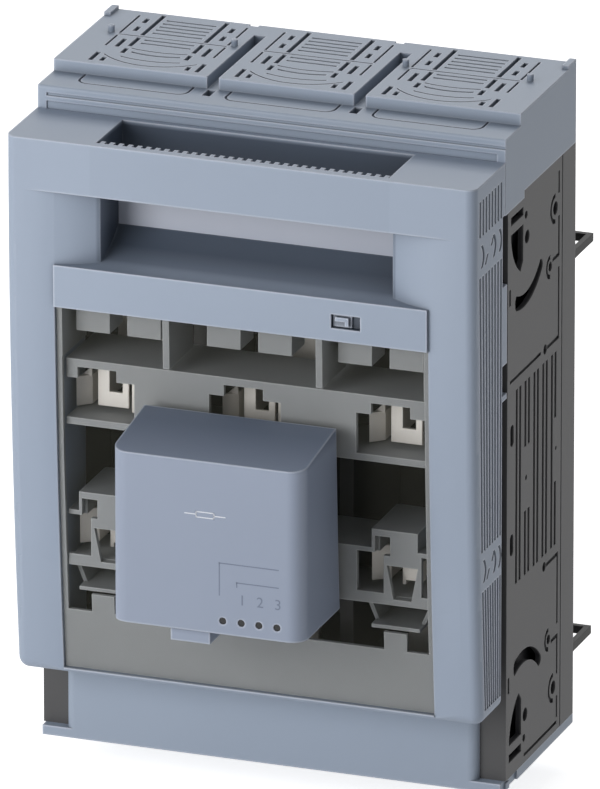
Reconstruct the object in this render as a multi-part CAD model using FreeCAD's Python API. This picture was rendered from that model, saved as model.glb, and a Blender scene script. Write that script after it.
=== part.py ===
"""Three-pole fuse switch disconnector with a swing cover and a fuse monitoring unit.

Every length is in millimetres. While a piece is drawn, x runs to the right from the middle, y runs back
from the front plane of the base, and z runs up from the underside. The finished pieces are then moved so
that the origin is the centre of the four fixing holes, on the back face.
"""
import FreeCAD, Part
import math
import os

# Whole device
WIDTH = 210.0
BASE_DEPTH = 90.0
HOOD_LEDGE = 294.1

# How far places inside the device move when one of its three sizes changes
ACROSS = WIDTH / 210.0
BACKWARD = BASE_DEPTH / 90.0
UPWARD = HOOD_LEDGE / 294.1

# Poles and walls
POLE_PITCH = 66.0 * ACROSS
POLES = (-1, 0, 1)
WALL = 2.5
SEAT_GAP = 0.1
MOVING_GAP = 0.3

# Fixing holes for the mounting plate
FIX_SPACING_X = 176.0 * ACROSS
FIX_SPACING_Z = 215.0 * UPWARD
FIX_HOLE_R = 3.5
FIX_BOSS_R = 7.0

# Base housing and the tray behind it
HOUSING_FRONT = 3.4
TRAY_DEPTH = 17.6 * BACKWARD
TRAY_WALL = 3.0
TRAY_BACK_WALL = 4.0
HOUSING_BOTTOM = 4.3 * UPWARD
HOUSING_HEIGHT = 259.5 * UPWARD
CHAMBER_WIDTH = 60.0 * ACROSS
CHAMBER_BACK = 62.0 * BACKWARD
CHAMBER_BOTTOM = 48.0 * UPWARD
CHAMBER_TOP = 220.0 * UPWARD
BAY_HEIGHT = 37.0 * UPWARD
BAY_WALL = 3.0
BAY_FRONT_EDGE = 1.0
SIDE_POCKET = 4.0
SIDE_POCKET_FRONT = 6.5 * BACKWARD

# Openings and lines in the side wall, as places along y and z
SIDE_SLOTS_Y = (15.4, 26.6, 38.0, 49.3, 60.6)
SIDE_SLOT_PAIR = 4.5
SIDE_SLOT_WIDTH = 2.5
SIDE_SLOTS_Z = (90.0, 119.0, 148.0, 177.7)
SIDE_SHORT_SLOTS_Y = (26.6, 31.1, 65.1)
SIDE_LINE = 1.8
SIDE_LINE_Y = 68.6
SIDE_RING_WIDTH = 2.0
SIDE_RINGS = ((64.0, 242.7, 3.0, 6.8), (57.6, 218.5, 2.2, 5.4))
SIDE_HOLES = ((26.4, 252.2, 1.8), (27.8, 242.0, 3.0), (51.5, 183.3, 2.2), (9.5, 156.0, 2.2), (9.5, 161.4, 2.2))
SIDE_SLITS = (((5.2, 7.4), (217.8, 225.1)), ((7.3, 11.7), (156.0, 161.4)))
SIDE_UPRIGHT_LINES = ((258.0, 248.0), (238.0, 219.7), (215.0, 182.4))
SIDE_CROSS_LINES = ((60.5, 220.5), (54.0, 183.3))
SIDE_MIDDLE_HOLES = ((27.8, 133.7, 1.2), (66.0, 133.8, 1.0))
SIDE_LONG_LINES = (((6.5, 46.0), (182.6, 184.2)), ((26.3, 68.6), (7.2, 8.8)))
KNOB_POCKET = ((7.0, 257.0), (22.8, 257.0), (22.8, 253.2), (7.0, 253.2))
KNOB_SIDES = (((7.0, 249.2), (10.0, 238.5), (19.5, 229.0)), ((19.5, 229.0), (22.8, 233.0)),
              ((22.8, 233.0), (22.8, 249.2)), ((22.8, 249.2), (7.0, 249.2)))
CURVED_SLOT_SIDES = (((14.0, 219.8), (31.0, 218.3), (44.5, 226.0)), ((44.5, 226.0), (47.4, 225.0), (47.4, 221.6)),
                     ((47.4, 221.6), (32.0, 212.6), (14.0, 213.0)), ((14.0, 213.0), (12.6, 216.4), (14.0, 219.8)))
JOINT_LINE = 1.1

# Screws that hold the housing to the tray
SCREW_R = 2.0
SCREW_HEAD_R = 3.8
SCREW_HEAD = 2.4
SCREW_BOSS_R = 5.0
SCREW_ROWS = (60.0 * UPWARD, 134.0 * UPWARD, 208.0 * UPWARD)
SCREW_BITE = 7.5
SCREW_SEAT = BASE_DEPTH - SCREW_HEAD - 0.6
SCREW_CROSS = (4.8, 0.8, 1.2)

# Hinge of the swing cover
HINGE_Y = -12.0
HINGE_Z = 52.0 * UPWARD
HINGE_PIN_R = 2.5
HINGE_RUNNING_GAP = 0.05
HINGE_LUG_R = 6.0
HINGE_LUG_THICK = 6.0
HINGE_LUG_X = 93.0 * ACROSS

# Top hood
HOOD_BOTTOM_LIP = 3.5
DECK_RISE = 5.4
DECK_FRONT = 19.3 * BACKWARD
DECK_SLOT = 5.2
LEDGE_NOTCH = 3.6
DECK_SLOT_BACK = 77.0 * BACKWARD
HOOD_SKIN = 2.2
HOOD_GROOVE_Z = 290.3 * UPWARD
HOOD_SIDE_LIP = 2.0
HOOD_SIDE_LIP_BACK = 24.2 * BACKWARD
VENT_LINE = 1.0
VENT_SLOT = 1.5
VENT_WIDE = 2.0
VENT_HALF = 11.3
VENT_ROWS_Y = (82.0, 77.7, 73.4, 69.1, 64.8, 55.0, 50.6)
VENT_COLUMNS = ((14.4, (60.5, 88.0)), (14.4, (45.5, 57.5)), (14.4, (36.0, 42.5)), (19.5, (76.0, 82.0)),
                (19.5, (65.0, 71.0)), (19.5, (43.0, 54.0)), (24.0, (23.0, 34.0)), (19.2, (23.5, 28.5)))
DECK_PEGS = (38.65 * ACROSS, 94.5 * ACROSS)
DECK_PEG_R = 1.4
DECK_PEG_RISE = 3.0
DECK_RIM_RISE = 1.6

# Bottom hood
FOOT_PLATE = HOUSING_BOTTOM
SKIRT_WIDTH = 186.6 * ACROSS
SKIRT_TOP = 32.0 * UPWARD
SKIRT_FRONT = -1.0
SKIRT_DEPTH = 9.0
SKIRT_EDGE_R = 4.0

# Rear brackets
BRACKET_REACH = 23.6
BRACKET_BAR = 2.5
BRACKET_HEIGHT = 3.6
BRACKET_LEVELS = (32.5 * UPWARD, 211.5 * UPWARD)

# Swing cover: its front is an arc seen from the side
COVER_BACK = -0.5
COVER_BOTTOM = 40.0 * UPWARD
COVER_TOP = 284.0 * UPWARD
COVER_DEPTH_TOP = 38.8
COVER_DEPTH_BOTTOM = 28.8
COVER_BULGE = 3.1
COVER_WALL = 3.0
COVER_NOTCH = 2.9
COVER_TONGUE = 2.9
COVER_NOTCH_LEVELS = (178.0 * UPWARD, 180.5 * UPWARD, 193.9 * UPWARD, 229.2 * UPWARD, 260.9 * UPWARD)
COVER_EDGE_R = 4.5
COVER_FOOT_R = 6.0
STILE_WIDTH = 21.25 * ACROSS
STILE_DIP = 1.5
STILE_DIP_START = 8.0
RAIL_HEIGHT = 3.0
HEADER_BOTTOM = 209.6 * UPWARD
HEADER_TOP = 228.5 * UPWARD

# Handle in the top of the cover
BAR_BOTTOM = 261.0 * UPWARD
BAR_THICK = 3.9
FINGER_WIDTH = 131.0 * ACROSS
FINGER_BACK = -3.3
BROW_DEPTH = 8.8
RAMP_BACK_Y = -8.5
RAMP_BACK_Z = 239.4 * UPWARD
GRIP_RIB_PITCH = 4.1 * ACROSS
GRIP_RIB_WIDTH = 2.1 * ACROSS
GRIP_RIB_DEPTH = 4.4
GRIP_RIB_COUNT = 32
LABEL_THICK = 1.2
LABEL_HEIGHT = 18.0 * UPWARD

# Grooves in the cover's sides
GROOVE_COUNT = 8
GROOVE_WIDTH = 1.9
GROOVE_DEPTH = 1.0
GROOVE_BOTTOM = 46.0 * UPWARD
GROOVE_TOP = 277.0 * UPWARD
BAND_LEVELS = (110.0 * UPWARD, 252.0 * UPWARD)
BAND_HEIGHT = 18.0 * UPWARD

# Lock slide in the header
LOCK_X = 47.5 * ACROSS
LOCK_Z = 218.6 * UPWARD
LOCK_SLOT = (13.0, 6.2)
LOCK_DEPTH = 3.0
LOCK_TRAVEL = 4.0
LOCK_SLIDE_WIDTH = 8.4

# Window and the parts behind it
WINDOW_SETBACK = 0.6
WINDOW_THICK = 2.2
FRAME_THICK = 2.0
FRAME_EDGE = 2.25
FRAME_PANEL_TOP = 70.2 * UPWARD
FRAME_POST_TOP = 78.2 * UPWARD
DIVIDER_WIDTH = 2.9
DIVIDER_X = 34.35 * ACROSS
GRIP_PITCH = 58.9 * ACROSS
DIVIDER_BOTTOM = 186.5 * UPWARD
GRIP_BLOCK = 15.0 * ACROSS
GRIP_BLOCK_SPACING = 23.0 * ACROSS
GRIP_BLOCK_FRONT = 12.4 - COVER_DEPTH_TOP
GRIP_BLOCK_BOTTOM = 196.0 * UPWARD
GRIP_BLOCK_DEPTH = 16.0

# Contact covers on the base
UPPER_COVER = (154.9 * UPWARD, 184.5 * UPWARD)
UPPER_COVER_FRONT = -30.5
LOWER_COVER = (90.5 * UPWARD, 115.5 * UPWARD)
LOWER_COVER_FRONT = -28.5
UPPER_OPENING_STEP = 8.5 * UPWARD
CONTACT_COVER_WIDTH = 162.0 * ACROSS
CONTACT_COVER_WALL = 2.5
CROWN_WIDTH = 20.6 * ACROSS
CROWN_TOP = 124.0 * UPWARD
TRAY_SHELF_WIDTH = 21.6 * ACROSS
TRAY_SHELF_TOP = 80.6 * UPWARD
TRAY_SHELF_FRONT = -27.0
TRAY_SHELF_BACK = -2.0

# Contacts
BLADE = 1.5
JAW_FRONT = -19.0
JAW_BACK = 22.0 * BACKWARD
JAW_WEB = 3.5
JAW_FLARE = 5.0
UPPER_JAW = (158.9 * UPWARD, 172.0 * UPWARD)
UPPER_PLATE = (160.5 * UPWARD, 176.6 * UPWARD)
UPPER_NOTCH_Z = 167.1 * UPWARD
LOWER_JAW = (97.0 * UPWARD, 112.2 * UPWARD)
LOWER_BLOCK = (99.0 * UPWARD, 108.0 * UPWARD)
BAR_WIDTH = 25.0 * ACROSS
BAR_THICKNESS = 4.0
TERMINAL_HOLE_R = 5.25
TERMINAL_BOLT_R = 5.0
BOLT_ACROSS_FLATS = 16.0
BOLT_HEAD = 6.4
BOLT_LENGTH = 16.0
NUT_HEIGHT = 8.0
TERMINAL_UPPER_Z = 277.0 * UPWARD
TERMINAL_LOWER_Z = 26.5 * UPWARD
ARC_PLATE = 1.5
ARC_PLATE_PITCH = 4.0 * UPWARD
ARC_PLATE_COUNT = 6
ARC_THROAT = 12.0
ARC_STACK_BOTTOM = 190.0 * UPWARD

# Monitoring unit on the window
UNIT_LEFT = -43.4 * ACROSS
UNIT_RIGHT = 42.7 * ACROSS
UNIT_FRONT = -78.0
UNIT_BOTTOM = 87.5 * UPWARD
UNIT_TOP_FRONT = 164.0 * UPWARD
UNIT_TOP_BACK = 170.0 * UPWARD
UNIT_EDGE_R = 7.0
UNIT_WALL = 2.0
UNIT_BACK_PLATE = 1.6
UNIT_BOARD_FRONT = UNIT_FRONT + UNIT_WALL + 6.0
UNIT_BOARD_THICK = 1.6
UNIT_BLOCK = 12.0
UNIT_BLOCK_RISE = 3.0
UNIT_TAB = (-17.2 * ACROSS, 0.4 * ACROSS, 6.1 * ACROSS)
LEAD_PITCH = 7.0 * ACROSS
LEAD_COUNT = 5
LEAD_HOLE_R = 2.0
LAMP_X = (6.9 * ACROSS, 15.2 * ACROSS, 23.1 * ACROSS, 31.2 * ACROSS)
LAMP_Z = 93.5 * UPWARD
LAMP_R = 1.5
LAMP_SUNK = 0.4

# Values worked out from the sizes above
HALF = WIDTH / 2
HOUSING_BACK = BASE_DEPTH - TRAY_DEPTH
HOUSING_TOP = HOUSING_BOTTOM + HOUSING_HEIGHT
CENTRE_Z = HOUSING_BOTTOM + HOUSING_HEIGHT / 2
DECK_TOP = HOOD_LEDGE + DECK_RISE
WINDOW_HALF = HALF - STILE_WIDTH - SEAT_GAP
BEHIND_WINDOW = COVER_WALL + SEAT_GAP


def vector(x, y, z):
    return FreeCAD.Vector(x, y, z)


def box(x, y, z):
    """A block between two x, two y and two z values, given as pairs."""
    corner = vector(min(x), min(y), min(z))
    return Part.makeBox(abs(x[1] - x[0]), abs(y[1] - y[0]), abs(z[1] - z[0]), corner)


def rod(start, end, radius):
    """A round rod from one point to another."""
    along = end.sub(start)
    return Part.makeCylinder(radius, along.Length, start, along)


def hexagon_rod(start, length, across_flats):
    """A six-sided rod that runs back along y."""
    radius = across_flats / 2 / math.cos(math.radians(30))
    corners = [vector(start.x + radius * math.cos(math.radians(60 * k)), start.y,
                      start.z + radius * math.sin(math.radians(60 * k))) for k in range(7)]
    return Part.Face(Part.makePolygon(corners)).extrude(vector(0, length, 0))


def slab_along_x(outline, x):
    """A closed outline of (y, z) corners, drawn out between two x values."""
    corners = [vector(x[0], y, z) for y, z in outline]
    face = Part.Face(Part.makePolygon(corners + corners[:1]))
    return face.extrude(vector(x[1] - x[0], 0, 0))


def slab_along_y(outline, y):
    """A closed outline of (x, z) corners, drawn out between two y values."""
    corners = [vector(px, y[0], z) for px, z in outline]
    face = Part.Face(Part.makePolygon(corners + corners[:1]))
    return face.extrude(vector(0, y[1] - y[0], 0))


def slab_along_z(outline, z):
    """A closed outline of (x, y) corners, drawn out between two z values."""
    corners = [vector(px, py, z[0]) for px, py in outline]
    face = Part.Face(Part.makePolygon(corners + corners[:1]))
    return face.extrude(vector(0, 0, z[1] - z[0]))


def joined(pieces):
    """One solid from pieces that meet."""
    return pieces[0].fuse(pieces[1:]).removeSplitter()


def mirrored(shape):
    """The same shape on the other side of the middle plane."""
    return shape.mirror(vector(0, 0, 0), vector(1, 0, 0))


def both_sides(shapes):
    """The shapes with their mirror images."""
    return list(shapes) + [mirrored(shape) for shape in shapes]


def pole_centres():
    return [pole * POLE_PITCH for pole in POLES]


def fixing_points():
    """The (x, z) places of the four fixing holes."""
    return [(x * FIX_SPACING_X / 2, CENTRE_Z + z * FIX_SPACING_Z / 2) for x in (-1, 1) for z in (-1, 1)]


def screw_points():
    """The (x, z) places of the screws between housing and tray, on the walls between the poles."""
    return [(side * POLE_PITCH / 2, z) for side in (-1, 1) for z in SCREW_ROWS]


def cover_arc():
    """Centre (y, z) and radius of the arc that the cover's front follows."""
    chord_y = COVER_DEPTH_BOTTOM - COVER_DEPTH_TOP
    chord_z = COVER_TOP - COVER_BOTTOM
    chord = math.hypot(chord_y, chord_z)
    radius = (chord * chord / 4 + COVER_BULGE * COVER_BULGE) / (2 * COVER_BULGE)
    reach = radius - COVER_BULGE
    middle_y = -(COVER_DEPTH_TOP + COVER_DEPTH_BOTTOM) / 2
    middle_z = (COVER_TOP + COVER_BOTTOM) / 2
    return middle_y + reach * chord_z / chord, middle_z - reach * chord_y / chord, radius


def front_y(z, inset=0.0):
    """The y of the cover's front at a height, or of a surface set back from it."""
    centre_y, centre_z, radius = cover_arc()
    return centre_y - math.sqrt((radius - inset) ** 2 - (z - centre_z) ** 2)


def front_edge(z, inset, x):
    """The arc edge of the front between two heights."""
    middle = (z[0] + z[1]) / 2
    return Part.Arc(*[vector(x, front_y(height, inset), height) for height in (z[0], middle, z[1])]).toShape()


def block_behind_front(x, z, inset, back):
    """A block whose front follows the cover's arc and whose back is flat."""
    low, high = z
    arc = front_edge(z, inset, x[0])
    rest = Part.makePolygon([vector(x[0], front_y(high, inset), high), vector(x[0], back, high),
                             vector(x[0], back, low), vector(x[0], front_y(low, inset), low)])
    wire = Part.Wire([arc] + rest.Edges)
    return Part.Face(wire).extrude(vector(x[1] - x[0], 0, 0))


def skin_along_front(x, z, insets):
    """A sheet between two surfaces set back from the cover's front."""
    low, high = z
    outer = front_edge(z, insets[0], x[0])
    inner = front_edge(z, insets[1], x[0])
    top, bottom = [Part.makeLine(*[vector(x[0], front_y(height, inset), height) for inset in insets])
                   for height in (high, low)]
    wire = Part.Wire(Part.__sortEdges__([outer, top, inner, bottom]))
    return Part.Face(wire).extrude(vector(x[1] - x[0], 0, 0))


def curved_opening(sides, x):
    """A cutting block between two x values whose outline has arcs (three points) and lines (two points)."""
    edges = []
    for side in sides:
        points = [vector(x[0], y, z) for y, z in side]
        edges.append(Part.Arc(*points).toShape() if len(points) == 3 else Part.makeLine(*points))
    face = Part.Face(Part.Wire(Part.__sortEdges__(edges)))
    return face.extrude(vector(x[1] - x[0], 0, 0))


def side_place(y, z):
    """A (y, z) place on the side wall, moved with the device's depth and height."""
    return y * BACKWARD, z * UPWARD


def side_hole(y, z, radius, depth):
    y, z = side_place(y, z)
    return rod(vector(depth[0], y, z), vector(depth[1], y, z), radius)


def side_slot(y, z, depth):
    low = side_place(y[0], z[0])
    high = side_place(y[1], z[1])
    return box(depth, (low[0], high[0]), (low[1], high[1]))


def side_ring(y, z, inner, outer):
    """A moulded half ring round a small hole."""
    y, z = side_place(y, z)
    ends = (vector(HALF - GROOVE_DEPTH, y, z), vector(HALF + 1, y, z))
    ring = rod(ends[0], ends[1], outer).cut(rod(ends[0], ends[1], outer - SIDE_RING_WIDTH))
    half_ring = ring.cut(box((HALF - 2 * GROOVE_DEPTH, HALF + 2), (y, y + outer + 1), (z - outer, z + outer)))
    return [half_ring, rod(vector(HALF - WALL - SIDE_POCKET / 2, y, z), ends[1], inner)]


def side_lines(level):
    """The lines moulded along the back of the side wall in its upper or lower half."""
    line = (HALF - GROOVE_DEPTH, HALF + 1)
    half = SIDE_LINE / 2
    back = (SIDE_LINE_Y - half, SIDE_LINE_Y + half)
    cuts = [side_slot(back, (level(top), level(low)), line) for top, low in SIDE_UPRIGHT_LINES]
    cuts += [side_slot((y, SIDE_LINE_Y), (level(z) - half, level(z) + half), line) for y, z in SIDE_CROSS_LINES]
    return cuts


def side_knob_space(level, depth):
    """The opening with one curved side and the curved slot under it."""
    def placed(points):
        return tuple(side_place(y, level(z)) for y, z in points)

    bowed = [placed(side) for side in KNOB_SIDES]
    curved = [placed(side) for side in CURVED_SLOT_SIDES]
    return [slab_along_x(placed(KNOB_POCKET), depth), curved_opening(bowed, depth), curved_opening(curved, depth)]


def side_long_slots(depth):
    """The rows of long cooling slots, some of them in two lengths."""
    cuts = []
    half = SIDE_SLOT_WIDTH / 2
    for first in SIDE_SLOTS_Y:
        for y in (first, first + SIDE_SLOT_PAIR):
            spans = [SIDE_SLOTS_Z[:2], SIDE_SLOTS_Z[2:]] if y in SIDE_SHORT_SLOTS_Y else [SIDE_SLOTS_Z[::3]]
            cuts += [side_slot((y - half, y + half), span, depth) for span in spans]
    return cuts


def side_recesses():
    """The openings moulded in the right side wall, as cutting blocks."""
    depth = (HALF - WALL - SIDE_POCKET / 2, HALF + 1)
    line = (HALF - GROOVE_DEPTH, HALF + 1)
    middle = CENTRE_Z / UPWARD
    cuts = []
    for flip in (False, True):
        def level(z):
            return 2 * middle - z if flip else z

        cuts += side_knob_space(level, depth) + side_lines(level)
        cuts += [side_hole(y, level(z), radius, depth) for y, z, radius in SIDE_HOLES]
        for y, z, inner, outer in SIDE_RINGS:
            cuts += side_ring(y, level(z), inner, outer)
        cuts += [side_slot(y, (level(z[0]), level(z[1])), depth) for y, z in SIDE_SLITS]
    cuts += [side_hole(y, z, radius, depth) for y, z, radius in SIDE_MIDDLE_HOLES]
    cuts += side_long_slots(depth)
    cuts += [side_slot(y, z, line) for y, z in SIDE_LONG_LINES]
    return cuts


def posts(places, front, back, radius):
    """Round posts from front to back at (x, z) places."""
    return [rod(vector(x, front, z), vector(x, back, z), radius) for x, z in places]


def base_housing():
    """The dark moulding with one fuse chamber and two terminal bays for each pole."""
    outer = box((-HALF, HALF), (HOUSING_FRONT, HOUSING_BACK), (HOUSING_BOTTOM, HOUSING_TOP))
    floor_back = CHAMBER_BACK + WALL
    inside = HALF - WALL
    back_pocket = box((-inside, inside), (floor_back, HOUSING_BACK + 1),
                      (HOUSING_BOTTOM + WALL, HOUSING_TOP - WALL))
    side_pockets = both_sides([box((inside - SIDE_POCKET, inside), (SIDE_POCKET_FRONT, HOUSING_BACK + 1),
                                   (HOUSING_BOTTOM + WALL, HOUSING_TOP - WALL))])
    hollows = []
    bar_slots = []
    for x in pole_centres():
        across = (x - CHAMBER_WIDTH / 2, x + CHAMBER_WIDTH / 2)
        deep = (HOUSING_FRONT - 1, CHAMBER_BACK)
        hollows.append(box(across, deep, (CHAMBER_BOTTOM, CHAMBER_TOP)))
        hollows.append(box(across, deep, (CHAMBER_TOP + BAY_WALL, CHAMBER_TOP + BAY_WALL + BAY_HEIGHT)))
        limit = SKIRT_WIDTH / 2 - BAY_FRONT_EDGE
        lower = (max(across[0], -limit), min(across[1], limit))
        hollows.append(box(lower, deep, (CHAMBER_BOTTOM - BAY_WALL - BAY_HEIGHT, CHAMBER_BOTTOM - BAY_WALL)))
        bar_slots.append(box((x - BAR_WIDTH / 2 - SEAT_GAP, x + BAR_WIDTH / 2 + SEAT_GAP),
                             (JAW_BACK + 3 - SEAT_GAP, JAW_BACK + 3 + BAR_THICKNESS + SEAT_GAP),
                             (TERMINAL_LOWER_Z - 6.7, HOUSING_TOP + 1)))
    body = outer.cut([back_pocket] + side_pockets + hollows)
    bosses = posts(fixing_points(), CHAMBER_BACK, HOUSING_BACK, FIX_BOSS_R)
    bosses += posts(screw_points(), CHAMBER_BACK, HOUSING_BACK, SCREW_BOSS_R)
    body = body.fuse(bosses + both_sides([hinge_lug()]))
    body = body.cut(bar_slots)
    holes = posts(fixing_points(), CHAMBER_BACK - 1, HOUSING_BACK + 1, FIX_HOLE_R)
    holes += posts(screw_points(), HOUSING_BACK - SCREW_BITE, HOUSING_BACK + 1, SCREW_R)
    cuts = side_recesses()
    cuts.append(box((HALF - HOOD_SIDE_LIP, HALF + 1), (HOUSING_FRONT - 1, HOOD_SIDE_LIP_BACK),
                    (HOUSING_TOP - HOOD_BOTTOM_LIP, HOUSING_TOP + 1)))
    return body.cut(holes + cuts + [mirrored(cut) for cut in cuts]).removeSplitter()


def hinge_lug():
    """The right lug that carries the cover's hinge pin."""
    across = (HINGE_LUG_X - HINGE_LUG_THICK / 2, HINGE_LUG_X + HINGE_LUG_THICK / 2)
    arm = box(across, (HINGE_Y, HOUSING_FRONT + 1), (HINGE_Z - HINGE_LUG_R, HINGE_Z + HINGE_LUG_R))
    ends = [vector(x, HINGE_Y, HINGE_Z) for x in across]
    lug = arm.fuse(rod(ends[0], ends[1], HINGE_LUG_R))
    return lug.cut(rod(ends[0], ends[1], HINGE_PIN_R + HINGE_RUNNING_GAP))


def hinge_pin():
    """The right hinge pin, held in the two walls of the cover's stile."""
    start = vector(HALF - STILE_WIDTH, HINGE_Y, HINGE_Z)
    return rod(start, vector(HALF - COVER_WALL / 2 - SEAT_GAP, HINGE_Y, HINGE_Z), HINGE_PIN_R)


def rear_tray():
    """The flat tray behind the housing, with the fixing holes."""
    outer = box((-HALF, HALF), (HOUSING_BACK, BASE_DEPTH), (HOUSING_BOTTOM, HOUSING_TOP))
    inside = HALF - TRAY_WALL
    hollow = box((-inside, inside), (HOUSING_BACK - 1, BASE_DEPTH - TRAY_BACK_WALL),
                 (HOUSING_BOTTOM + TRAY_WALL, HOUSING_TOP - TRAY_WALL))
    bosses = posts(fixing_points(), HOUSING_BACK, BASE_DEPTH, FIX_BOSS_R)
    bosses += posts(screw_points(), HOUSING_BACK, BASE_DEPTH, SCREW_BOSS_R)
    rib_levels = [(low + high) / 2 for low, high in zip(SCREW_ROWS, SCREW_ROWS[1:])]
    ribs = [box((-inside, inside), (HOUSING_BACK + 2, BASE_DEPTH), (z - 1, z + 1)) for z in rib_levels]
    tray = outer.cut(hollow).fuse(bosses + ribs)
    holes = posts(fixing_points(), HOUSING_BACK - 1, BASE_DEPTH + 1, FIX_HOLE_R)
    holes += both_sides([box((HALF - GROOVE_DEPTH, HALF + 1), (HOUSING_BACK - 1, HOUSING_BACK + JOINT_LINE),
                             (HOUSING_BOTTOM - 1, HOUSING_TOP + 1))])
    holes += posts(screw_points(), HOUSING_BACK - 1, BASE_DEPTH + 1, SCREW_R + SEAT_GAP)
    holes += posts(screw_points(), SCREW_SEAT, BASE_DEPTH + 1, SCREW_HEAD_R + SEAT_GAP)
    return tray.cut(holes).removeSplitter()


def housing_screws():
    """The screws that hold the tray to the housing, their heads sunk in the back."""
    screws = []
    top = SCREW_SEAT + SCREW_HEAD
    deep = (top - SCREW_CROSS[2], top + 1)
    long, thin = SCREW_CROSS[0] / 2, SCREW_CROSS[1] / 2
    for x, z in screw_points():
        shank = rod(vector(x, HOUSING_BACK - SCREW_BITE + 0.5, z), vector(x, SCREW_SEAT + 1, z), SCREW_R)
        head = rod(vector(x, SCREW_SEAT, z), vector(x, top, z), SCREW_HEAD_R)
        cross = [box((x - long, x + long), deep, (z - thin, z + thin)),
                 box((x - thin, x + thin), deep, (z - long, z + long))]
        screws.append(shank.fuse(head).cut(cross).removeSplitter())
    return Part.makeCompound(screws)


def rear_bracket(level):
    """A stirrup that stands out behind the tray."""
    z = (level, level + BRACKET_HEIGHT)
    back = BASE_DEPTH + BRACKET_REACH
    arms = both_sides([box((HALF - BRACKET_BAR, HALF), (BASE_DEPTH, back), z)])
    bar = box((-HALF, HALF), (back - BRACKET_BAR, back), z)
    feet = both_sides([box((HALF - 12, HALF), (BASE_DEPTH, BASE_DEPTH + BRACKET_BAR), z)])
    return joined(arms + [bar] + feet)


def vent_pattern(pole_x):
    """The cooling slots and moulded outlines in one deck, as cutting blocks."""
    z = (DECK_TOP - HOOD_SKIN - 1, DECK_TOP + 1)
    groove_z = (DECK_TOP - VENT_LINE, DECK_TOP + 1)
    cuts = []

    def slot(x, y, levels):
        cuts.append(box((pole_x + x[0] * ACROSS, pole_x + x[1] * ACROSS),
                        (y[0] * BACKWARD, y[1] * BACKWARD), levels))

    def along(x, y, width=VENT_WIDE):
        for middle in (-x, x):
            slot((middle - width / 2, middle + width / 2), y, z)

    def bowed(y, half, sag, width, levels):
        outer = bowed_edge(pole_x, y * BACKWARD, half * ACROSS, sag)
        inner = bowed_edge(pole_x, y * BACKWARD + width, half * ACROSS, sag)
        left = Part.makeLine(outer.Vertexes[0].Point, inner.Vertexes[0].Point)
        right = Part.makeLine(outer.Vertexes[-1].Point, inner.Vertexes[-1].Point)
        face = Part.Face(Part.Wire(Part.__sortEdges__([outer, right, inner, left])))
        face.translate(vector(0, 0, levels[0]))
        cuts.append(face.extrude(vector(0, 0, levels[1] - levels[0])))

    for y in VENT_ROWS_Y:
        slot((-VENT_HALF, VENT_HALF), (y - VENT_SLOT / 2, y + VENT_SLOT / 2), z)
    bowed(41.0, 12.6, 1.6, VENT_LINE, groove_z)
    bowed(36.0, 11.0, 1.8, VENT_SLOT, z)
    bowed(29.0, 13.5, 2.4, VENT_LINE, groove_z)
    bowed(22.8, 21.0, 9.0, VENT_LINE, groove_z)
    for x, y in VENT_COLUMNS:
        along(x, y)
    for y in ((60.5, 85.0), (43.0, 57.5)):
        along(24.5, y, VENT_LINE)
    slot((-24.5, 24.5), (58.5, 59.5), groove_z)
    return cuts


def bowed_edge(x, y, half, sag):
    """An arc across a deck whose middle lies further forward than its ends."""
    return Part.Arc(vector(x - half, y + sag, 0), vector(x, y, 0), vector(x + half, y + sag, 0)).toShape()


def knock_out(x):
    """The U-shaped line in the ledge that marks the part to break out for cables."""
    half, front, back, radius = 25.0 * ACROSS, 7.6 * BACKWARD, DECK_FRONT + 1, 5.0
    depth = (HOOD_LEDGE - VENT_LINE, HOOD_LEDGE + 1)
    outer = rounded_block((x - half, x + half), (front, back + radius), depth, radius)
    inner = rounded_block((x - half + VENT_LINE, x + half - VENT_LINE), (front + VENT_LINE, back + radius), depth,
                          radius - VENT_LINE)
    return outer.cut(inner).common(box((x - half, x + half), (front, DECK_FRONT), depth))


def rounded_block(x, y, z, radius):
    """A block with its four upright edges rounded."""
    block = box(x, y, z)
    upright = [edge for edge in block.Edges if abs(edge.tangentAt(edge.FirstParameter).z) > 0.99]
    return block.makeFillet(radius, upright)


def deck_edges():
    """The x pairs that the three decks cover."""
    half_slot = DECK_SLOT / 2
    gaps = [side * POLE_PITCH / 2 for side in (-1, 1)]
    return [(-HALF, gaps[0] - half_slot), (gaps[0] + half_slot, gaps[1] - half_slot), (gaps[1] + half_slot, HALF)]


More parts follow.
